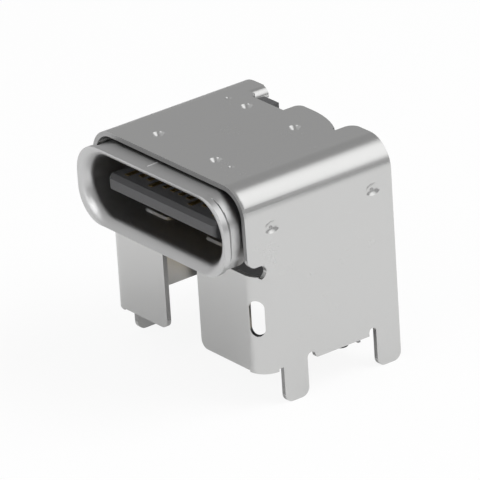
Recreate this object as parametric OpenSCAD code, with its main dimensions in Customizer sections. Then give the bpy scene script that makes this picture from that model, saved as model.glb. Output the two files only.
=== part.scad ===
// Raised right-angle USB type-C socket. The mouth faces -Y and stands well above the board;
// Z = 0 is the board surface that the side plates and the wings rest on, and X = 0 is the
// middle of the mouth. All sizes are in millimetres.

/* [Mouth] */
// Width of the plug opening
mouth_w = 8.34; // [8.2:0.02:8.6]
// Height of the plug opening
mouth_h = 2.56; // [2.5:0.02:2.7]
// Height of the middle of the mouth above the board
mouth_z = 5.9; // [5:0.1:9]
// Sheet thickness of the drawn inner shell
tube_t = 0.25; // [0.2:0.01:0.3]
// Radius of the quarter turn from the throat out into the lip
lip_turn = 0.48; // [0.4:0.01:0.52]
// How far the lip reaches beyond the opening at the left and right
lip_reach = 0.49; // [0.42:0.01:0.55]
// How far the lip reaches beyond the opening above and below
lip_rise = 0.36; // [0.3:0.01:0.42]
// Radius of the lip's corners seen from the front
lip_corner_r = 1.34; // [1.2:0.01:1.5]
// Width of each raised pad in the tube's floor and ceiling
pad_w = 1.66; // [1.2:0.02:2]
// Length of each raised pad
pad_len = 1.5; // [1:0.1:2.5]
// Distance between the middles of the left and the right pad
pad_pitch = 3.84; // [3.2:0.02:4]
// Distance of the pads behind the lip
pad_y = 1.6; // [1.2:0.01:2]
// Height of the raised pads
pad_h = 0.08; // [0.03:0.01:0.1]
// Radius of a pad's corners
pad_r = 0.3; // [0.2:0.01:0.5]
// Distance of the tube's butt seam from the middle
seam_x = -0.35; // [-1:0.05:1]
// Width of that seam
seam_w = 0.04; // [0.02:0.01:0.08]

/* [Outer shell] */
// Sheet thickness of the folded outer shell
shell_t = 0.2; // [0.15:0.01:0.25]
// Gap between the inner shell and the roof above it
roof_gap = 0.185; // [0.1:0.005:0.3]
// Gap between the inner shell and each side plate
side_gap = 0.17; // [0.1:0.005:0.3]
// Distance of the roof's front edge behind the lip
roof_y = 0.91; // [0.6:0.01:1.1]
// Depth of the roof and side plates
shell_d = 7.13; // [7:0.01:8]
// Outside radius of the folds between roof and side plates
fold_r = 1.19; // [0.8:0.01:1.4]
// Radius of the lower front corner of each side plate
plate_corner_r = 0.39; // [0.2:0.01:0.5]

/* [Wings and legs] */
// Distance of the front wings behind the lip
wing_y = 1.3; // [1.2:0.01:1.5]
// Outside radius of the fold between side plate and wing
wing_fold_r = 0.8; // [0.6:0.02:0.9]
// Clear width between the two wings
wing_gap = 2.18; // [1.5:0.02:3]
// Distance of that gap's middle from the middle of the mouth
wing_gap_x = -0.12; // [-0.2:0.01:0.2]
// Height of the flat wings' lower edge above the board
wing_lift = 0.06; // [0:0.01:0.2]
// Radius of the lower inner corner of each wing
wing_corner_r = 0.36; // [0.1:0.02:0.6]
// Height of the slot that parts each wing from the plate above it
relief_h = 0.56; // [0.4:0.02:0.7]
// Distance of the relief slot's lower edge below the middle of the mouth
relief_drop = 1.83; // [1.75:0.01:2]
// Distance of the relief slot's round end behind the wings
relief_end = 0.48; // [0.4:0.01:0.6]
// Width of the slot through the right wing's fold
window_w = 0.62; // [0.4:0.02:0.7]
// Height of the slot through the right wing's fold
window_h = 1.5; // [1:0.05:2]
// Angle of that slot round the fold, from the side plate, in degrees
window_turn = 56; // [40:1:60]
// Height of the middle of that slot above the board
window_z = 2.33; // [1.5:0.01:3]
// Length of the shell legs below the board surface
leg_len = 1.43; // [0.8:0.01:2]
// Width of a shell leg
leg_w = 1.16; // [0.8:0.02:1.4]
// Distance of the front legs behind the wings
leg_y = 1.02; // [0.8:0.02:1.5]
// Radius of the corners of a leg's tip
leg_tip_r = 0.36; // [0.1:0.02:0.5]
// Width of the relief notch behind a front leg
notch_front_w = 0.4; // [0.2:0.02:0.5]
// Width of the relief notch before a rear leg
notch_rear_w = 0.34; // [0.2:0.02:0.5]
// Height of the relief notches
notch_h = 0.31; // [0.2:0.01:0.5]
// Radius of the plate's corner where it meets a relief notch
notch_lip_r = 0.12; // [0.06:0.02:0.2]
// Height of the small notch between a wing and a front leg
wing_notch_h = 0.12; // [0.08:0.01:0.3]

/* [Roof edge] */
// Half width of the cut-out in the roof's rear edge
cutout_x = 2.55; // [2.3:0.05:2.8]
// Depth of that cut-out
cutout_d = 1.04; // [0.8:0.02:1.3]
// Radius of the roof corners beside the cut-out
cutout_r = 0.42; // [0.2:0.02:0.6]
// Distance of the carrier tab's left edge from the middle
tab_x0 = -0.45; // [-1:0.05:0]
// Distance of the carrier tab's right edge from the middle
tab_x1 = 2.36; // [1.5:0.02:2.4]
// Length of the carrier tab at its left
tab_len = 0.8; // [0.5:0.02:1]
// Radius of the carrier tab's swept rear edge
tab_sweep = 4.2; // [4:0.1:8]
// Radius of the carrier tab's left corner
tab_r = 0.3; // [0.1:0.02:0.3]
// Diameter of a weld dimple
dimple_d = 0.52; // [0.3:0.02:0.6]
// Depth of a weld dimple
dimple_h = 0.08; // [0.04:0.01:0.12]
// Diameter of the small dimples beside them
pip_d = 0.26; // [0.2:0.02:0.3]
// Distance of the front dimples behind the wings
dimple_front = 0.87; // [0.6:0.01:1.2]
// Distance of the roof's rear dimples from its rear edge
dimple_rear = 1.8; // [1.2:0.05:2]
// Distance of the side plates' rear dimples from their rear edges
dimple_side_rear = 0.94; // [0.6:0.02:1.2]
// Places of the roof's front dimples across the roof, left and right
dimple_front_x = [-2.11, 1.48]; // [-2.4:0.01:2.4]
// Places of the roof's rear dimples across the roof, left and right
dimple_rear_x = [-1.79, 1.22]; // [-2.4:0.01:2.4]
// Distance from the right front dimple out to its small dimple
pip_front_x = 0.98; // [0.8:0.02:1.2]
// Distance from the left rear dimple out to its small dimple
pip_rear_x = 1.15; // [0.8:0.05:1.2]

/* [Tongue] */
// Width of the tongue
tongue_w = 6.69; // [6.6:0.01:6.8]
// Thickness of the tongue
tongue_t = 0.7; // [0.65:0.01:0.75]
// Distance of the tongue's tip behind the lip
tongue_y = 0.52; // [0.4:0.02:0.7]
// Thickness of the tongue's tapered tip
tip_t = 0.42; // [0.36:0.02:0.6]
// Length of that taper
tip_len = 0.22; // [0.1:0.01:0.3]
// Length of the thick root in front of the tube's floor edge
root_len = 1.2; // [1:0.05:1.4]
// Thickness of the root
root_t = 1.4; // [1.2:0.05:1.6]
// Width of the root
root_w = 7; // [6.8:0.05:7.4]
// Radius of the tongue's front corners
tongue_r = 0.16; // [0.1:0.02:0.4]
// Distance of the latch plate's front edge behind the tongue's tip
mid_set = 0.3; // [0.2:0.05:0.6]
// Thickness of the steel plate inside the tongue
mid_t = 0.12; // [0.1:0.01:0.15]
// How far that plate shows at each side of the tongue
mid_proud = 0.08; // [0.02:0.01:0.12]
// Length of the latch notches in the plate's sides
latch_len = 1.1; // [0.8:0.05:1.4]
// Depth of those notches
latch_d = 0.42; // [0.2:0.02:0.5]
// Sheet thickness of the ground plates on the root
ground_t = 0.1; // [0.08:0.01:0.12]

/* [Contacts] */
// Number of contacts in each row
contact_n = 12; // [12]
// Distance between neighbouring contacts
contact_pitch = 0.5; // [0.5:0.01:0.52]
// Width of a contact
contact_w = 0.25; // [0.2:0.01:0.28]
// Thickness of a contact
contact_t = 0.12; // [0.1:0.01:0.14]
// Distance of the signal contacts behind the tongue's tip
contact_set = 0.75; // [0.5:0.05:1]
// How much nearer the tip the ground and supply contacts reach
contact_lead = 0.3; // [0.1:0.05:0.4]
// How far a contact stands proud of the tongue
contact_proud = 0.02; // [0.01:0.005:0.04]
// Distance between the two rows of contact posts
row_gap = 0.82; // [0.8:0.02:1]
// Inside radius of the contacts' bends
contact_bend = 0.12; // [0.05:0.01:0.2]
// Length of the lower row's pins below the board surface
pin_len = 0.9; // [0.5:0.05:1.2]
// Length of the upper row's soldering feet
foot_len = 0.5; // [0.3:0.02:0.5]

/* [Housing and rear cover] */
// Thickness of the housing in front of the lower row's posts
front_wall = 0.9; // [0.8:0.02:1]
// Thickness of the housing behind the upper row's posts
rear_wall = 0.18; // [0.14:0.01:0.24]
// Height of the housing above the board
housing_lift = 0.2; // [0.1:0.02:0.4]
// Distance between the middles of the housing's two ribs
rib_pitch = 4.7; // [4.4:0.05:5]
// Width of a rib
rib_w = 0.7; // [0.4:0.05:1]
// Height of the ribs above the middle of the mouth
rib_top = 1.46; // [1.3:0.02:1.5]
// Diameter of the housing's locating pegs
peg_d = 0.6; // [0.4:0.05:0.6]
// Distance between the pegs
peg_pitch = 7; // [6.8:0.1:7.2]
// Length of the pegs below the board surface
peg_len = 0.65; // [0.4:0.05:1]
// Sheet thickness of the rear cover
cover_t = 0.2; // [0.15:0.01:0.25]
// Height of the rear cover's lower edge above the board
cover_lift = 0.75; // [0.5:0.05:1.2]
// Half width of the low middle part of the rear cover
cover_low_x = 2.76; // [2.5:0.02:3]
// Height of that low part above the middle of the mouth
cover_low_z = 1.05; // [0.6:0.05:1.1]
// Length of the side flanges of the rear cover
flange_len = 1; // [0.6:0.05:1.2]
// Gap between the rear cover and the housing
cover_gap = 0.05; // [0.02:0.01:0.1]
// Gap between the tube's rear edge and the upper row's posts
tube_gap = 0.17; // [0.15:0.01:0.2]
// Gap between the tube's floor edge and the lower row's posts
floor_gap = 0.4; // [0.35:0.01:0.5]
// Clearance of a piece that slides in beside another
fit = 0.02; // [0.01:0.005:0.04]

/* [Hidden] */
$fn = 48;
throat_r = mouth_h / 2;
tube_r = throat_r + tube_t;
straight = mouth_w / 2 - throat_r;
shell_w = mouth_w + 2 * (tube_t + side_gap + shell_t);
roof_z = mouth_z + tube_r + roof_gap + shell_t;
rear_y = roof_y + shell_d;
housing_y1 = rear_y - cover_t - cover_gap;
upper_y = housing_y1 - rear_wall - contact_t;
lower_y = upper_y - row_gap;
housing_y = lower_y - front_wall;
tube_len = upper_y - tube_gap;
floor_len = lower_y - floor_gap;
root_y = floor_len - root_len;
peg_y = housing_y + peg_d / 2 + fit;
wing_fold_y = wing_y + wing_fold_r;
wing_top = mouth_z - relief_drop;
front_leg_y = wing_y + leg_y;
rear_leg_y = rear_y - leg_w;
inner_x = shell_w / 2 - shell_t;
contact_z = tongue_t / 2 + contact_proud - contact_t;
cut = 1;

// The extruding helpers lay a drawing in a plane of the model: across X and Z, or along Y and Z.
module along_y(y0, y1) {
    translate([0, y1, 0]) rotate([90, 0, 0]) linear_extrude(y1 - y0) children();
}

module along_x(x0, x1) {
    translate([x0, 0, 0]) rotate([90, 0, 90]) linear_extrude(x1 - x0) children();
}

module both_sides() {
    children();
    mirror([1, 0, 0]) children();
}

// A rectangle from corner a to corner b whose corners have radius r.
module round_rect(a, b, r) {
    translate([a.x + r, a.y]) square([b.x - a.x - 2 * r, b.y - a.y]);
    translate([a.x, a.y + r]) square([b.x - a.x, b.y - a.y - 2 * r]);
    for (x = [a.x + r, b.x - r], y = [a.y + r, b.y - r]) translate([x, y]) circle(r);
}

// The mouth's outline: two half circles joined by straight edges.
module stadium(r) {
    translate([-straight, mouth_z - r]) square([2 * straight, 2 * r]);
    for (side = [-1, 1]) translate([side * straight, mouth_z]) circle(r);
}

// Section of the turned-out lip, as distance from the mouth's centre line and depth: the tube's sheet
// bends outwards by a quarter turn and runs on square to the tube.
module lip_section() {
    turn = [throat_r + lip_turn, lip_turn];
    difference() {
        union() {
            intersection() {
                translate(turn) circle(lip_turn, $fn = 96);
                translate([throat_r, 0]) square(lip_turn);
            }
            translate([turn.x, 0]) square([lip_reach, tube_t]);
        }
        translate(turn) circle(lip_turn - tube_t, $fn = 96);
    }
}

// The lip: its section led round the opening and sheared off along a rounded rectangle.
module lip() {
    half = [mouth_w / 2 + lip_reach, throat_r + lip_rise];
    intersection() {
        along_y(0, lip_turn) translate([0, mouth_z]) round_rect(-half, half, lip_corner_r);
        union() {
            both_sides() translate([straight, 0, mouth_z]) rotate([-90, 0, 0]) rotate([0, 0, -90])
                rotate_extrude(angle = 180) lip_section();
            for (end = [0, 1]) translate([0, 0, mouth_z]) mirror([0, 0, end])
                along_x(-straight, straight) mirror([1, -1]) lip_section();
        }
    }
}

// A raised pad with sloping sides, pressed up from a plate whose face lies at the origin.
module pad(width, length, height) {
    x = width / 2 - pad_r;
    y = length / 2 - pad_r;
    for (corner = [[-x, -y], [x, -y], [-x, y], [x, y]])
        translate(corner) cylinder(h = height, r1 = pad_r, r2 = pad_r - height);
    rotate([90, 0, 0]) translate([0, 0, -y]) linear_extrude(2 * y)
        polygon([[-x - pad_r, 0], [x + pad_r, 0], [x + pad_r - height, height], [-x - pad_r + height, height]]);
    rotate([90, 0, 90]) translate([0, 0, -x]) linear_extrude(2 * x)
        polygon([[-y - pad_r, 0], [y + pad_r, 0], [y + pad_r - height, height], [-y - pad_r + height, height]]);
}

// Both pads of the tube's floor, lifted by z: the raised faces inside, or the dents beneath.
module floor_pads(z) {
    for (side = [-1, 1]) translate([side * pad_pitch / 2, pad_y + pad_len / 2, z])
        pad(pad_w, pad_len, pad_h);
}

// The drawn inner shell: a tube with a lip and a butt seam, open below at the rear for the contacts.
module inner_shell() {
    color("silver") {
        difference() {
            along_y(lip_turn, tube_len) difference() {
                stadium(tube_r);
                stadium(throat_r);
            }
            along_y(floor_len, tube_len + cut)
                translate([-mouth_w, mouth_z - tube_r - cut]) square([2 * mouth_w, tube_r + cut - throat_r / 2]);
            translate([seam_x - seam_w / 2, lip_turn, mouth_z + tube_r - seam_w]) cube([seam_w, tube_len, cut]);
            for (end = [0, 1]) translate([0, 0, mouth_z]) mirror([0, 0, end]) floor_pads(-tube_r);
        }
        for (end = [0, 1]) translate([0, 0, mouth_z]) mirror([0, 0, end]) floor_pads(-throat_r);
        lip();
    }
}

// Outline of roof and side plates, drawn inset by a distance and open below.
module fold_outline(inset, low) {
    half = shell_w / 2;
    fold_z = roof_z - fold_r;
    translate([-half + inset, low]) square([shell_w - 2 * inset, fold_z - low]);
    translate([-half + fold_r, low]) square([shell_w - 2 * fold_r, roof_z - inset - low]);
    for (side = [-1, 1]) translate([side * (half - fold_r), fold_z]) circle(fold_r - inset);
}

// A leg in the plane of its side plate, with rounded corners at its tip.
module leg(y0) {
    translate([y0, -leg_len + leg_tip_r]) square([leg_w, leg_len + leg_tip_r]);
    translate([y0 + leg_tip_r, -leg_len]) square([leg_w - 2 * leg_tip_r, leg_len]);
    for (y = [y0 + leg_tip_r, y0 + leg_w - leg_tip_r]) translate([y, -leg_len + leg_tip_r]) circle(leg_tip_r);
}

// A relief notch from y0 to y1 in the plate's lower edge, rounded where it leaves the edge at y_lip.
module notch(y0, y1, y_lip, side) {
    r = (y1 - y0) / 2;
    translate([y0 + r, notch_h - r]) circle(r);
    translate([y0, -cut]) square([2 * r, notch_h - r + cut]);
    translate([y_lip, 0]) difference() {
        square(2 * notch_lip_r, center = true);
        translate([side * notch_lip_r, notch_lip_r]) circle(notch_lip_r);
        translate([side * notch_lip_r - notch_lip_r, notch_lip_r]) square(2 * notch_lip_r);
        translate([side > 0 ? notch_lip_r : -3 * notch_lip_r, -cut]) square(2 * cut);
    }
}

// A side plate seen from the side, with the roof above it.
module plate_outline() {
    relief_top = wing_top + relief_h;
    leg_back = front_leg_y + leg_w;
    difference() {
        union() {
            translate([roof_y, relief_top + plate_corner_r]) square([shell_d, roof_z]);
            translate([roof_y + plate_corner_r, relief_top]) square([shell_d - plate_corner_r, roof_z]);
            translate([roof_y + plate_corner_r, relief_top + plate_corner_r]) circle(plate_corner_r);
            translate([wing_y + relief_end - relief_h / 2, wing_top]) square([shell_d / 2, relief_h]);
            translate([wing_fold_y, 0]) square([rear_y - wing_fold_y, roof_z]);
            leg(front_leg_y);
            leg(rear_leg_y);
        }
        translate([wing_y - cut, wing_top]) square([cut + relief_end - relief_h / 2, relief_h]);
        translate([wing_y + relief_end - relief_h / 2, wing_top + relief_h / 2]) circle(relief_h / 2);
        notch(leg_back, leg_back + notch_front_w, leg_back + notch_front_w, 1);
        notch(rear_leg_y - notch_rear_w, rear_leg_y, rear_leg_y - notch_rear_w, -1);
        translate([wing_fold_y, -cut]) square([front_leg_y - wing_fold_y, cut + wing_notch_h]);
    }
}

// What is cut from the roof's rear edge, seen from above: a wide cut-out with a tab left in it.
module roof_cutout() {
    y0 = rear_y - cutout_d;
    difference() {
        union() {
            translate([-cutout_x, y0]) square([2 * cutout_x, cutout_d + cut]);
            for (side = [-1, 1]) translate([side * cutout_x, rear_y]) difference() {
                square(2 * cutout_r, center = true);
                translate([side * cutout_r, -cutout_r]) circle(cutout_r);
                translate([side * cutout_r - cutout_r, -3 * cutout_r]) square(2 * cutout_r);
            }
        }
        tab(y0);
    }
}

// The sheared carrier tab: a round left corner, then a rear edge that sweeps away to the right.
module tab(y0) {
    end_y = y0 + tab_len;
    sweep = [tab_x0 + tab_len, end_y - tab_sweep];
    translate([tab_x0, y0]) square([tab_r, tab_len - tab_r]);
    translate([tab_x0 + tab_r, end_y - tab_r]) circle(tab_r);
    translate([tab_x0 + tab_r, y0]) square([tab_len - tab_r, tab_len]);
    intersection() {
        translate([sweep.x, y0]) square([tab_x1 - sweep.x, tab_len]);
        translate(sweep) circle(tab_sweep, $fn = 192);
    }
    translate([tab_x1 - fit, y0]) square([cutout_x - tab_x1 + fit, cutout_x - tab_x1]);
}

// A dimple of diameter d and depth h pressed into a plate that faces +Z at the origin.
module dimple(d, h) {
    ball_r = (pow(d / 2, 2) + pow(h, 2)) / (2 * h);
    translate([0, 0, ball_r - h]) intersection() {
        sphere(ball_r);
        translate([0, 0, -ball_r]) cylinder(h = 2 * h, d = d + 2 * h);
    }
}

// Places of the weld dimples in the roof and its small pips, and of the side plates' dimples.
front_row = wing_y + dimple_front;
rear_row = rear_y - dimple_rear;
roof_dimples = concat([for (x = dimple_front_x) [x, front_row]], [for (x = dimple_rear_x) [x, rear_row]]);
roof_pips = [[dimple_front_x[1] + pip_front_x, front_row], [dimple_rear_x[0] - pip_rear_x, rear_row]];
side_dimples = [front_row, rear_y - dimple_side_rear];

// One front wing with its fold: a quarter turn of sheet, then a flat wing as far as edge_x.
module wing(edge_x) {
    half = shell_w / 2;
    fold_x = half - wing_fold_r;
    linear_extrude(wing_top) translate([fold_x, wing_fold_y]) intersection() {
        difference() {
            circle(wing_fold_r);
            circle(wing_fold_r - shell_t);
        }
        translate([0, -wing_fold_r]) square(wing_fold_r);
    }
    along_y(wing_y, wing_y + shell_t) {
        translate([edge_x, wing_lift + wing_corner_r])
            square([fold_x - edge_x, wing_top - wing_lift - wing_corner_r]);
        translate([edge_x + wing_corner_r, wing_lift])
            square([fold_x - edge_x - wing_corner_r, wing_top - wing_lift]);
        translate([edge_x + wing_corner_r, wing_lift + wing_corner_r]) circle(wing_corner_r);
    }
}

// The slot through the right wing's fold, upright with round ends.
module window() {
    side = window_h - window_w;
    translate([-window_w / 2, -side / 2]) square([window_w, side]);
    for (end = [-1, 1]) translate([0, end * side / 2]) circle(window_w / 2);
}

// The folded outer shell: roof, side plates with four legs, and the two front wings.
module outer_shell() {
    half = shell_w / 2;
    weld_d = dimple_d / 2;
    color("gainsboro") difference() {
        union() {
            intersection() {
                along_y(roof_y, rear_y) difference() {
                    fold_outline(0, -leg_len);
                    fold_outline(shell_t, -leg_len - cut);
                }
                along_x(-half - cut, half + cut) plate_outline();
            }
            for (place = roof_dimples) translate([place.x, place.y, roof_z - shell_t - roof_gap])
                cylinder(h = roof_gap, d = weld_d);
            both_sides() for (y = side_dimples)
                translate([inner_x - side_gap, y, mouth_z]) rotate([0, 90, 0]) cylinder(h = side_gap, d = weld_d);
            wing(wing_gap / 2 + wing_gap_x);
            mirror([1, 0, 0]) wing(wing_gap / 2 - wing_gap_x);
        }
        translate([0, 0, roof_z - fold_r]) linear_extrude(fold_r + cut) roof_cutout();
        for (place = roof_dimples) translate([place.x, place.y, roof_z]) dimple(dimple_d, dimple_h);
        for (place = roof_pips) translate([place.x, place.y, roof_z]) dimple(pip_d, dimple_h / 2);
        both_sides() for (y = side_dimples)
            translate([half, y, mouth_z]) rotate([0, 90, 0]) dimple(dimple_d, dimple_h);
        translate([half - wing_fold_r, wing_fold_y, window_z]) rotate([0, 0, -window_turn])
            rotate([90, 0, 90]) linear_extrude(wing_fold_r + cut) window();
    }
}

// A contact runs back in its tongue groove, bends and goes down to the board.
// level is its height from the tongue's middle, post_y where its post stands.
module contact_path(tip_y, level, post_y, foot) {
    top = mouth_z + level;
    bend_r = contact_bend + contact_t;
    bend_c = post_y + contact_t - bend_r;
    low = foot > 0 ? contact_t + contact_bend : -pin_len;
    along_x(-contact_w / 2, contact_w / 2) {
        translate([tip_y, top]) square([bend_c - tip_y, contact_t]);
        translate([bend_c, top + contact_t - bend_r]) intersection() {
            difference() {
                circle(bend_r);
                circle(contact_bend);
            }
            square(bend_r);
        }
        translate([post_y, low]) square([contact_t, top + contact_t - bend_r - low]);
        if (foot > 0) {
            translate([post_y + bend_r, low]) intersection() {
                difference() {
                    circle(bend_r);
                    circle(contact_bend);
                }
                translate([-bend_r, -bend_r]) square(bend_r);
            }
            translate([post_y + bend_r, 0]) square([foot - bend_r, contact_t]);
        }
    }
}

function contact_x(i) = (i - (contact_n + 1) / 2) * contact_pitch;
// Ground and supply contacts reach further forward, so that they meet the plug first.
function leads(i) = i == 1 || i == 4 || i == contact_n - 3 || i == contact_n;
function contact_tip(i) = tongue_y + contact_set - (leads(i) ? contact_lead : 0);

module contact_a(i) {
    color("gold") translate([contact_x(i), 0, 0])
        contact_path(contact_tip(i), contact_z, upper_y, foot_len);
}

module contact_b(i) {
    color("gold") translate([-contact_x(i), 0, 0])
        contact_path(contact_tip(i), -contact_z - contact_t, lower_y, 0);
}

module contacts() {
    for (i = [1:contact_n]) {
        contact_a(i);
        contact_b(i);
    }
}

// The steel plate inside the tongue, with latch notches in its sides and two grounding pins.
module mid_plate() {
    half = tongue_w / 2 + mid_proud;
    rear = (upper_y + lower_y + contact_t) / 2;
    color("darkgray") {
        translate([0, 0, mouth_z - mid_t / 2]) linear_extrude(mid_t) difference() {
            round_rect([-half, tongue_y + mid_set], [half, rear], tongue_r / 2);
            for (side = [-1, 1]) translate([side * half, root_y - latch_len])
                round_rect([-latch_d, -latch_len / 2], [latch_d, latch_len / 2], latch_d / 3);
        }
        both_sides() translate([half - 2 * contact_w, rear - mid_t, -pin_len])
            cube([2 * contact_w, mid_t, mouth_z + pin_len]);
    }
}

// The tongue's thin blade, which tapers to its tip.
module blade() {
    tip = tip_t / 2;
    thick = tongue_t / 2;
    taper_y = tongue_y + tip_len;
    intersection() {
        translate([0, 0, mouth_z - thick]) linear_extrude(tongue_t)
            round_rect([-tongue_w / 2, tongue_y], [tongue_w / 2, floor_len], tongue_r);
        translate([0, 0, mouth_z]) along_x(-tongue_w, tongue_w)
            polygon([[tongue_y, -tip], [taper_y, -thick], [rear_y, -thick], [rear_y, thick], [taper_y, thick],
                [tongue_y, tip]]);
    }
}

// The moulded tongue: a thin blade on a thick root that fills the rear of the inner shell.
module tongue() {
    color([0.12, 0.12, 0.13]) difference() {
        union() {
            blade();
            translate([-root_w / 2, root_y, mouth_z - root_t / 2]) cube([root_w, floor_len - root_y, root_t]);
            along_y(floor_len - tube_t, tube_len) intersection() {
                stadium(throat_r);
                translate([-mouth_w, mouth_z - throat_r / 2]) square([2 * mouth_w, 2 * throat_r]);
            }
        }
        contacts();
        mid_plate();
    }
}

// Bent ground plate on one face of the root. side is 1 above and -1 below.
module ground_plate(side) {
    face = root_t / 2;
    low = tongue_t / 2 + contact_proud + fit;
    translate([0, 0, mouth_z]) mirror([0, 0, (1 - side) / 2]) {
        translate([-root_w / 2, root_y, face]) cube([root_w, floor_len - tube_t - root_y, ground_t]);
        translate([-root_w / 2, root_y - ground_t, low]) cube([root_w, ground_t, face + ground_t - low]);
    }
}

module ground_plate_upper() {
    color("silver") ground_plate(1);
}

module ground_plate_lower() {
    color("silver") ground_plate(-1);
}

// The housing: a block behind the open front space that carries the contacts down to the board.
module housing() {
    side_x = inner_x - cover_t - fit;
    shelf_z = mouth_z - tube_r;
    core_z = mouth_z - throat_r / 2;
    color([0.16, 0.16, 0.17]) difference() {
        union() {
            translate([-side_x, housing_y, housing_lift])
                cube([2 * side_x, housing_y1 - housing_y, shelf_z - housing_lift]);
            translate([-straight, floor_len + fit, housing_lift])
                cube([2 * straight, housing_y1 - floor_len - fit, core_z - housing_lift]);
            translate([-straight, tube_len, housing_lift])
                cube([2 * straight, housing_y1 - tube_len, mouth_z + cover_low_z - housing_lift]);
            both_sides() translate([rib_pitch / 2 - rib_w / 2, tube_len + fit, housing_lift])
                cube([rib_w, housing_y1 - tube_len - fit, mouth_z + rib_top - housing_lift]);
            both_sides() translate([peg_pitch / 2, peg_y, -peg_len])
                cylinder(h = housing_lift + peg_len + tube_t, d = peg_d);
        }
        contacts();
        mid_plate();
    }
}

// The rear cover: a stamped plate behind the housing, with flanges along the side plates.
module rear_cover() {
    ear_z = roof_z - shell_t;
    side_x = inner_x;
    y0 = rear_y - cover_t;
    flange_z = mouth_z - tube_r;
    color("gainsboro") {
        along_y(y0, rear_y) difference() {
            intersection() {
                translate([-side_x, cover_lift]) square([2 * side_x, ear_z - cover_lift]);
                fold_outline(shell_t, -leg_len);
            }
            translate([-cover_low_x, mouth_z + cover_low_z]) square([2 * cover_low_x, ear_z]);
        }
        both_sides() translate([side_x - cover_t, y0 - flange_len, cover_lift])
            cube([cover_t, flange_len, flange_z - cover_lift]);
    }
}

outer_shell();
inner_shell();
rear_cover();
tongue();
housing();
mid_plate();
ground_plate_upper();
ground_plate_lower();
for (i = [1:12]) {
    contact_a(i);
    contact_b(i);
}
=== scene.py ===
import math

import bmesh
import bpy
from mathutils import Matrix, Vector


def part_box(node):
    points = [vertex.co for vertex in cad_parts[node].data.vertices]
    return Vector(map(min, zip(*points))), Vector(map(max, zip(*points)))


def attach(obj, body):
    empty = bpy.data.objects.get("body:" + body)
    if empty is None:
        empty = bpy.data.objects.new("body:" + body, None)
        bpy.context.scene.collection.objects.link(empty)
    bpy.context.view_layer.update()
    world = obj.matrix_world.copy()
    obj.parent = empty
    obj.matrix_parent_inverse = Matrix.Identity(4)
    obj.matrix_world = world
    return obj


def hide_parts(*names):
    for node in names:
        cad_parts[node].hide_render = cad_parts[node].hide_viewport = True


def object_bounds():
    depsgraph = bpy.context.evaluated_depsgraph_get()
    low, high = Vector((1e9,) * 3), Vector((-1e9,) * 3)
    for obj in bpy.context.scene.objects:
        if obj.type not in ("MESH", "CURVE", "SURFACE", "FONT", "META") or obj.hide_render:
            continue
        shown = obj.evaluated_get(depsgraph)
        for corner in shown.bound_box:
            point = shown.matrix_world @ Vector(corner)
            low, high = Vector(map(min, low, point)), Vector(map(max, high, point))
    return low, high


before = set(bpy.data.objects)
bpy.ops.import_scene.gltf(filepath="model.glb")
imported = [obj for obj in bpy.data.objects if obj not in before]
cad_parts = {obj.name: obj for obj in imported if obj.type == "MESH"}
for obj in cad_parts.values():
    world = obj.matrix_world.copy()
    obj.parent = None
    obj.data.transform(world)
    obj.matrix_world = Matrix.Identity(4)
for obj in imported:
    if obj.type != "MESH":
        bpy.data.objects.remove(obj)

cad_low, cad_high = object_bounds()
scene = bpy.context.scene
scene.view_settings.view_transform = "Standard"

# The camera
# It looks down on the mouth's right-hand corner from about 24 cm away through a long lens, and leans
# four degrees, so that the socket seems to tip to the left.
MM = 0.001
tube_low, tube_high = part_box("inner_shell")
mouth = Vector((0, tube_low.y, (tube_low.z + tube_high.z) / 2))
swing, rise, lean = math.radians(54.35), math.radians(23.82), math.radians(4.11)
camera_range = 238.1 * MM
sideways = Vector((math.cos(swing), math.sin(swing), 0))
backwards = Vector((math.sin(swing) * math.cos(rise), -math.cos(swing) * math.cos(rise), math.sin(rise)))
upwards = backwards.cross(sideways)
across = sideways * math.cos(lean) - upwards * math.sin(lean)
up = sideways * math.sin(lean) + upwards * math.cos(lean)
focal = 12.971
off_axis = Vector((0.18708, -0.05979))
sight = (backwards * focal - across * off_axis.x - up * off_axis.y).normalized()
level = (across - sight * across.dot(sight)).normalized()
turn = Matrix((level, sight.cross(level), sight)).transposed().to_4x4()
lens = bpy.data.cameras.new("camera")
lens.sensor_width = 36
lens.lens = 36 * focal
lens.clip_start = 0.01
lens.clip_end = 10
camera = bpy.data.objects.new("camera", lens)
scene.collection.objects.link(camera)
camera.matrix_world = Matrix.Translation(mouth + backwards * camera_range) @ turn
scene.camera = camera

# The outer shell
# One sheet of nickel silver, blanked, folded into a roof with two sides and two front wings, and plated.
# The plate is smooth with a faint cloudy grain, and the sheared edges of the sheet are duller.


class Socket:
    """A shader socket that adds Math nodes when it is used in an expression."""

    def __init__(self, tree, end):
        self.tree = tree
        self.end = end

    def math(self, operation, first, second):
        node = self.tree.nodes.new("ShaderNodeMath")
        node.operation = operation
        for slot, value in zip(node.inputs, (first, second)):
            feed(self.tree, slot, value)
        return Socket(self.tree, node.outputs[0])

    def __add__(self, other):
        return self.math("ADD", self, other)

    __radd__ = __add__

    def __mul__(self, other):
        return self.math("MULTIPLY", self, other)

    __rmul__ = __mul__

    def __sub__(self, other):
        return self.math("SUBTRACT", self, other)

    def __rsub__(self, other):
        return self.math("SUBTRACT", other, self)


def feed(tree, slot, value):
    if isinstance(value, Socket):
        tree.links.new(value.end, slot)
    else:
        slot.default_value = value


class Nodes:
    """A node tree; node() adds any node to it except the Math nodes of an expression."""

    def __init__(self, tree):
        self.tree = tree

    def node(self, kind, settings=None, values=None, output=0):
        node = self.tree.nodes.new(kind)
        for name, value in (settings or {}).items():
            if name == "greys":
                spread_greys(node.color_ramp, value)
            else:
                setattr(node, name, value)
        for name, value in (values or {}).items():
            feed(self.tree, node.inputs[name], value)
        return Socket(self.tree, node.outputs[output])


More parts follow.
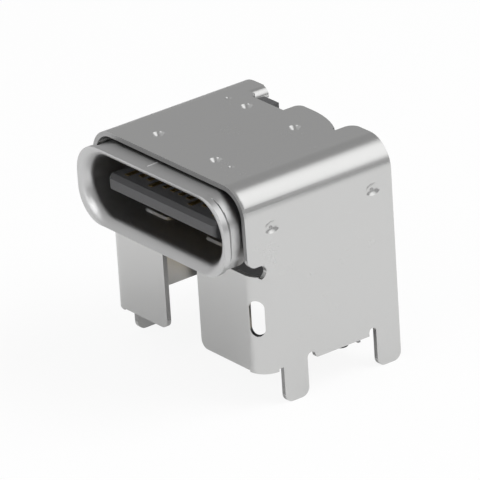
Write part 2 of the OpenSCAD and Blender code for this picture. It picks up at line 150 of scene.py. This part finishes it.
def spread_greys(ramp, greys):
    """Puts the pairs of place and grey on a colour ramp, in place of its black and white ends."""
    for place, grey in greys:
        ramp.elements.new(place).color = (grey, grey, grey, 1)
    ramp.elements.remove(ramp.elements[0])
    ramp.elements.remove(ramp.elements[-1])


class Finish(Nodes):
    """A material with one Principled shader."""

    def __init__(self, name, color, roughness, metallic=1.0):
        self.material = bpy.data.materials.new(name)
        self.material.use_nodes = True
        super().__init__(self.material.node_tree)
        self.shader = self.tree.nodes["Principled BSDF"]
        self.set("Base Color", (*color, 1))
        self.set("Roughness", roughness)
        self.set("Metallic", metallic)

    def set(self, name, value):
        feed(self.tree, self.shader.inputs[name], value)

    def noise(self, size, detail=2.0):
        place = self.node("ShaderNodeTexCoord", output="Object")
        values = {"Vector": place, "Scale": 1 / size, "Detail": detail}
        return self.node("ShaderNodeTexNoise", values=values, output="Fac")

    def bump(self, height, depth):
        self.set("Normal", self.node("ShaderNodeBump", values={"Height": height, "Distance": depth}))


def plated_sheet(name, color, roughness):
    finish = Finish(name, color, roughness)
    cloud = finish.noise(1.3 * MM, detail=3.0)
    grain = finish.noise(0.05 * MM)
    finish.set("Roughness", roughness + 0.05 * (cloud - 0.5) + 0.04 * (grain - 0.5))
    finish.bump(grain + 2 * cloud, 0.0004 * MM)
    return finish.material


def prism(outline, axis, low, high):
    """A solid drawn across one axis, from low to high along it; the outline skips that axis."""
    bm = bmesh.new()
    ring = []
    for first, second in outline:
        place = [first, second]
        place.insert(axis, low)
        ring.append(bm.verts.new(place))
    base = bm.faces.new(ring)
    drawn = bmesh.ops.extrude_face_region(bm, geom=[base])["geom"]
    along = [0, 0, 0]
    along[axis] = high - low
    moved = [part for part in drawn if isinstance(part, bmesh.types.BMVert)]
    bmesh.ops.translate(bm, verts=moved, vec=along)
    bmesh.ops.recalc_face_normals(bm, faces=bm.faces)
    return bm


def combine(bm, other, operation):
    """Cuts the other solid from the first or joins it to it."""
    blanks = []
    for solid in (bm, other):
        mesh = bpy.data.meshes.new("blank")
        solid.to_mesh(mesh)
        blanks.append(bpy.data.objects.new("blank", mesh))
        scene.collection.objects.link(blanks[-1])
    other.free()
    cut = blanks[0].modifiers.new("cut", "BOOLEAN")
    cut.operation = operation
    cut.object = blanks[1]
    done = blanks[0].evaluated_get(bpy.context.evaluated_depsgraph_get())
    bm.clear()
    bm.from_mesh(done.to_mesh())
    for blank in blanks:
        bpy.data.objects.remove(blank)


def arc(center, radius, start, end, steps=10):
    """Points on an arc; the angles are in degrees from the first axis to the second."""
    turns = [math.radians(start + (end - start) * step / steps) for step in range(steps + 1)]
    return [(center[0] + radius * math.cos(turn), center[1] + radius * math.sin(turn)) for turn in turns]


def mark_sheared_edges(bm, sheet):
    """Gives the second material to each strip between two sharp corners that is as narrow as the sheet."""
    for face in bm.faces:
        rim = sum(corner.calc_length() for corner in face.edges if not corner.smooth)
        if rim > 0.5 * face.calc_perimeter() and 2 * face.calc_area() / rim < 1.05 * sheet:
            face.material_index = 1


def finished_copy(name, edge, shape=None, sheet=0.0):
    """The CAD solid with its corners broken, to show in its place. A sheet's sheared edges are marked."""
    bm = bmesh.new()
    bm.from_mesh(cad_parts[name].data)
    bmesh.ops.remove_doubles(bm, verts=bm.verts, dist=same_point)
    if shape:
        shape(bm)
    bmesh.ops.dissolve_limit(bm, angle_limit=flat_turn, verts=bm.verts, edges=bm.edges)
    for face in bm.faces:
        face.smooth = True
    for corner in bm.edges:
        corner.smooth = corner.is_manifold and corner.calc_face_angle() < sharp_turn
    if sheet:
        mark_sheared_edges(bm, sheet)
    mesh = bpy.data.meshes.new("finished_" + name)
    bm.to_mesh(mesh)
    bm.free()
    piece = bpy.data.objects.new("finished_" + name, mesh)
    scene.collection.objects.link(piece)
    if edge:
        rounding = piece.modifiers.new("broken_edges", "BEVEL")
        rounding.width = edge
        rounding.segments = 2
        rounding.limit_method = "ANGLE"
        rounding.angle_limit = sharp_turn
    weights = piece.modifiers.new("flat_faces", "WEIGHTED_NORMAL")
    weights.keep_sharp = True
    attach(piece, "root")
    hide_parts(name)
    return piece


def slice_across(bm, *places):
    """Adds a ring of edges at each place along Y, so that what lies between two of them can be moved."""
    for y in places:
        bmesh.ops.bisect_plane(bm, geom=bm.verts[:] + bm.edges[:] + bm.faces[:], plane_co=(0, y, 0),
                               plane_no=(0, 1, 0))


def turn_down_ear(bm):
    """The roof's ear at the rear left is cut off flat and put back bent down over its inner end."""
    flat = [(ear_bend_x, ear_start), (ear_cut_x, ear_start), (ear_cut_x, back + MM), (ear_bend_x, back + MM)]
    combine(bm, prism(flat, 2, roof - 2 * sheet, roof + MM), "DIFFERENCE")
    bend = (ear_bend_x, roof - ear_bend_r)
    inside_r = ear_bend_r - sheet
    section = [(ear_bend_x - sheet, roof)] + arc(bend, ear_bend_r, 90, 0)
    section += [(ear_bend_x + ear_bend_r, ear_tip), (ear_bend_x + inside_r, ear_tip)]
    section += arc(bend, inside_r, 0, 90) + [(ear_bend_x - sheet, roof - sheet)]
    combine(bm, prism(section, 1, ear_start, ear_end), "UNION")


def fill_cut_out_corner(bm):
    """A fillet in the left-hand front corner of the roof's rear cut-out."""
    overlap = 0.05 * MM
    left, ahead = cut_out_corner.x - overlap, cut_out_corner.y - overlap
    right, behind = cut_out_corner.x + cut_out_fillet, cut_out_corner.y + cut_out_fillet
    fillet = [(left, ahead), (right, ahead)] + arc((right, behind), cut_out_fillet, 270, 180)
    combine(bm, prism(fillet + [(left, behind)], 2, roof - sheet, roof), "UNION")


def tighten_front_corner(bm):
    """The front edge is drawn in at the top right, most at 45 degrees round the tube's right end."""
    slice_across(bm, front + draw_in_middle, front + draw_in_length)
    for vert in bm.verts:
        side = vert.co.x - tube_straight
        rise = vert.co.z - mouth.z
        behind = (vert.co.y - front) / draw_in_length
        if side > 0 and rise > 0 and behind < 1:
            reach = math.hypot(side, rise)
            pull = draw_in * (2 * side * rise / reach ** 2) ** 2 * (1 - behind) ** 2
            vert.co.x -= pull * side / reach
            vert.co.z -= pull * rise / reach


def punch(bm, center, radius, outwards, deeper, lift=0.0, longer=1.0):
    """Presses a CAD dimple deeper, lifts it and draws it out along Y. Outwards points out of the sheet."""
    for vert in bm.verts:
        away = vert.co - center
        depth = -away.dot(outwards)
        if abs(depth) < sheet / 2 and (away + outwards * depth).length < radius:
            vert.co -= outwards * depth * (deeper - 1)
            vert.co.y += away.y * (longer - 1)
            vert.co.z += lift


def punch_dimples(bm):
    """Four dimples and two pips in the roof, and two dimples in each side."""
    for x, y in ((-2.11, dimple_row), (1.48, dimple_row), (-1.79, rear_row), (1.22, rear_row)):
        punch(bm, Vector((x * MM, y, roof)), dimple_reach, Vector((0, 0, 1)), 2.4)
    for x, y in ((2.46, dimple_row), (-2.94, rear_row)):
        punch(bm, Vector((x * MM, y, roof)), dimple_reach / 2, Vector((0, 0, 1)), 1.7)
    for outwards in (Vector((-1, 0, 0)), Vector((1, 0, 0))):
        for y in (dimple_row, back - 0.94 * MM):
            center = Vector((0, y, mouth.z)) + outwards * half_w
            punch(bm, center, dimple_reach, outwards, 1.35, lift=0.15 * MM, longer=1.45)


def press_shell(bm):
    turn_down_ear(bm)
    fill_cut_out_corner(bm)
    tighten_front_corner(bm)
    punch_dimples(bm)


sheet = 0.2 * MM
shell_low, shell_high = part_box("outer_shell")
half_w, roof, front, back = shell_high.x, shell_high.z, shell_low.y, shell_high.y
tube_straight = 2.89 * MM
same_point = 0.0002 * MM
flat_turn, sharp_turn = math.radians(0.5), math.radians(30)
ear_start, ear_end, ear_tip = back - 0.79 * MM, back - 0.05 * MM, roof - 0.4 * MM
ear_bend_x, ear_bend_r, ear_cut_x = -2.98 * MM, 0.35 * MM, -2 * MM
cut_out_corner, cut_out_fillet = Vector((-2.55 * MM, back - 1.04 * MM)), 0.25 * MM
draw_in, draw_in_middle, draw_in_length = 0.05 * MM, 0.07 * MM, 0.15 * MM
dimple_row, rear_row, dimple_reach = front + 1.26 * MM, back - 1.8 * MM, 0.3 * MM
broken_edge = 0.02 * MM
bright_plate = plated_sheet("bright_plate", (0.62, 0.62, 0.615), 0.26)
sheared_plate = plated_sheet("sheared_plate", (0.42, 0.42, 0.42), 0.4)
outer_shell = finished_copy("outer_shell", broken_edge, shape=press_shell, sheet=sheet)
outer_shell.data.materials.append(bright_plate)
outer_shell.data.materials.append(sheared_plate)

# The inner shell
# The mouth and its lip are drawn from sheet in one piece with the tube that the plug slides into, and the
# same plating covers it inside and out.


def collar_reach(sideways, upwards):
    """Distance from the middle of the tube's round end to the collar, in the given direction."""
    middle_x, middle_z = collar_side - collar_r, collar_rise - collar_r
    along = middle_x * sideways + middle_z * upwards
    reach = along + math.sqrt(along ** 2 - middle_x ** 2 - middle_z ** 2 + collar_r ** 2)
    if reach * sideways < middle_x:
        return collar_rise / upwards
    if reach * upwards < middle_z:
        return collar_side / sideways
    return reach


def fatten_collar(bm):
    """Behind the lip the tube swells towards the outer shell, to a squarer outline than the plug's."""
    slice_across(bm, *collar_rings)
    for vert in bm.verts:
        side = max(abs(vert.co.x) - tube_straight, 0)
        rise = abs(vert.co.z - mouth.z)
        spread = math.hypot(side, rise)
        begin = collar_start + seam_width * side / spread if spread else collar_end
        if spread < tube_skin or not begin <= vert.co.y <= collar_end:
            continue
        reach = collar_reach(side / spread, rise / spread)
        if spread < reach:
            vert.co.z = mouth.z + (vert.co.z - mouth.z) * reach / spread
            if side:
                vert.co.x = math.copysign(tube_straight + side * reach / spread, vert.co.x)


def add_burr(bm):
    """The butted ends of the drawn strip leave a fine bright line on top of the collar."""
    ridge = arc((burr_x, burr_z), burr_r, 0, 180, 8)
    combine(bm, prism(ridge, 1, burr_start, burr_end), "UNION")


def swell_tube(bm):
    fatten_collar(bm)
    add_burr(bm)


tube_skin = 1.45 * MM
collar_rings = (0.6 * MM, 1.2 * MM, 1.6 * MM)
collar_side, collar_rise, collar_r = 1.595 * MM, 1.62 * MM, 1.3 * MM
collar_start, collar_end, seam_width = 0.2 * MM, 1.3 * MM, 0.24 * MM
burr_x, burr_z, burr_r = -0.49 * MM, mouth.z + collar_rise - 0.01 * MM, 0.035 * MM
burr_start, burr_end = 0.33 * MM, 0.87 * MM
inner_shell = finished_copy("inner_shell", 0, shape=swell_tube)
inner_shell.data.materials.append(plated_sheet("drawn_plate", (0.6, 0.6, 0.6), 0.35))

# The rear cover
# A flat stamping of the same plate closes the back and is held by its two flanges.


def step_cover(bm):
    """Beside the turned-down ear the cover's top edge steps down."""
    step = [(step_x, step_z), (ear_cut_x, step_z), (ear_cut_x, step_z + MM), (step_x, step_z + MM)]
    combine(bm, prism(step, 1, back - MM, back + MM), "DIFFERENCE")


step_x, step_z = -3.16 * MM, mouth.z + 1.41 * MM
rear_cover = finished_copy("rear_cover", broken_edge, shape=step_cover)
rear_cover.data.materials.append(bright_plate)

# The tongue and the housing
# Both are moulded round the contacts from black glass-filled plastic, which dries to a satin, slightly
# speckled skin.


def moulding(name, color):
    finish = Finish(name, color, 0.45, metallic=0.0)
    speckle = finish.noise(0.08 * MM, detail=4.0)
    finish.set("Roughness", 0.4 + 0.2 * speckle)
    finish.bump(speckle, 0.004 * MM)
    return finish.material


def add_lug(bm):
    """The lug on top of the housing that shows in the roof's cut-out."""
    lug = [(lug_left, lug_front), (lug_right, lug_front), (lug_right, lug_back), (lug_left, lug_back)]
    combine(bm, prism(lug, 2, lug_base, lug_top), "UNION")


lug_left, lug_right = -3 * MM, -1.75 * MM
lug_base, lug_top = mouth.z + MM, mouth.z + 1.6 * MM
lug_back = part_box("housing")[1].y
lug_front = lug_back - 0.9 * MM
black_moulding = moulding("black_moulding", (0.08, 0.08, 0.083))
for part, shape in (("tongue", None), ("housing", add_lug)):
    piece = finished_copy(part, broken_edge, shape=shape)
    piece.data.materials.append(black_moulding)

# The steel inside the tongue
# The latch plate and the two ground plates on the tongue's root are stamped from stainless strip and left
# bare. The moulding holds them, and little of them shows.


def coat(node, material):
    """Gives a CAD solid, which is shown as it is, its material."""
    node.data.materials.clear()
    node.data.materials.append(material)


bare_steel = plated_sheet("bare_steel", (0.5, 0.5, 0.51), 0.3)
for part in ("mid_plate", "ground_plate_upper", "ground_plate_lower"):
    coat(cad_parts[part], bare_steel)

# The contacts
# Copper alloy strip, stamped and bent, with gold plate where the plug touches it and down to the feet and
# pins that are soldered. The tongue and the housing are moulded round them.
gold = plated_sheet("gold_plate", (0.83, 0.62, 0.27), 0.25)
for name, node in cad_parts.items():
    if name.startswith("contact_"):
        coat(node, gold)

# The studio
# A table that the camera sees white, in a grey room that is paler at the front left. A pool of light is
# painted on
# the table: its colour is paler near the socket and darker far off, and near the socket it glows in
# reflections.
# Broad soft lights high at the back right run along the roof's folded edge, and two small ones in front show
# in the lip's lower corner.


def soft_light(name, way, reach, size, power, shows=True):
    """A rectangular lamp turned to the mouth. One that doesn't show has no reflection of itself."""
    area = bpy.data.lights.new(name, "AREA")
    area.shape = "RECTANGLE"
    area.size, area.size_y = size
    area.energy = power
    lamp = bpy.data.objects.new(name, area)
    scene.collection.objects.link(lamp)
    way = Vector(way).normalized()
    lamp.location = mouth + way * reach
    lamp.rotation_euler = way.to_track_quat("Z", "Y").to_euler()
    lamp.visible_camera = False
    lamp.visible_glossy = shows


soft_light("overhead", (0.44, 0.53, 0.725), 0.3, (0.17, 0.3), 0.065)
soft_light("overhead_spill", (0.5, 0.57, 0.65), 0.32, (0.34, 0.3), 0.19)
soft_light("strip", (-0.15, -0.95, 0.26), 0.12, (0.05, 0.07), 0.0155)
soft_light("strip_upper", (0.2, -0.78, 0.58), 0.12, (0.07, 0.07), 0.02)
soft_light("key", (0.45, 0.5, 0.74), 0.3, (0.2, 0.2), 0.56, shows=False)

world = bpy.data.worlds.new("world")
scene.world = world
world.use_nodes = True
room = Nodes(world.node_tree)
lit = room.tree.nodes["Background"]
wall_greys = ((0.0, 0.45), (0.12, 0.42), (0.4, 0.45), (0.6, 0.39), (0.9, 0.4))
front_left = Vector((-0.8, -0.55, 0.3)).normalized()
way = room.node("ShaderNodeTexCoord", output="Generated")
height = room.node("ShaderNodeSeparateXYZ", values={"Vector": way}, output="Z")
walls = room.node("ShaderNodeValToRGB", {"greys": wall_greys}, {"Fac": height})
toward = room.node("ShaderNodeVectorMath", {"operation": "DOT_PRODUCT"}, {0: way, 1: front_left}, "Value")
paler = room.node("ShaderNodeMapRange", {"interpolation_type": "SMOOTHSTEP"},
                  {"Value": toward, "From Min": 0.3, "From Max": 0.95, "To Max": 0.18})
feed(room.tree, lit.inputs["Color"], walls + paler)
lit = Socket(room.tree, lit.outputs["Background"])
white = room.node("ShaderNodeBackground", values={"Color": (1, 1, 1, 1)})
seen = room.node("ShaderNodeLightPath", output="Is Camera Ray")
shown = room.node("ShaderNodeMixShader", values={"Fac": seen, 1: lit, 2: white})
feed(room.tree, room.tree.nodes["World Output"].inputs["Surface"], shown)

bm = bmesh.new()
bmesh.ops.create_circle(bm, cap_ends=True, segments=96, radius=1.5)
bmesh.ops.translate(bm, verts=bm.verts, vec=(0, 0, cad_low.z))
table_mesh = bpy.data.meshes.new("table")
bm.to_mesh(table_mesh)
bm.free()
table = bpy.data.objects.new("table", table_mesh)
scene.collection.objects.link(table)
pale = Finish("pale_table", (0.85, 0.85, 0.85), 0.8, metallic=0.0)
spot = pale.node("ShaderNodeTexCoord", output="Object")
reach = pale.node("ShaderNodeVectorMath", {"operation": "LENGTH"}, {"Vector": spot}, "Value")
painted_light_pool = pale.node("ShaderNodeMapRange", {"interpolation_type": "SMOOTHSTEP"},
                 {"Value": reach, "From Min": 0.01, "From Max": 0.2, "To Min": 1.0, "To Max": 0.0})
# Painted light: the table's colour is paler near the socket and darker far off, a painted pool of light.
pale.set("Base Color", 0.35 + 0.5 * painted_light_pool)
seen = pale.node("ShaderNodeLightPath", output="Is Camera Ray")
mirrored = pale.node("ShaderNodeLightPath", output="Is Glossy Ray")
# Painted light: near the socket the table also glows in reflections, a painted pool of light. Far off the
# camera sees it white.
bright = seen * (1 - 0.09 * painted_light_pool) + mirrored * (0.03 + 0.17 * painted_light_pool)
lit = Socket(pale.tree, pale.shader.outputs["BSDF"])
white = pale.node("ShaderNodeEmission")
shown = pale.node("ShaderNodeMixShader", values={"Fac": bright, 1: lit, 2: white})
feed(pale.tree, pale.tree.nodes["Material Output"].inputs["Surface"], shown)
table.data.materials.append(pale.material)
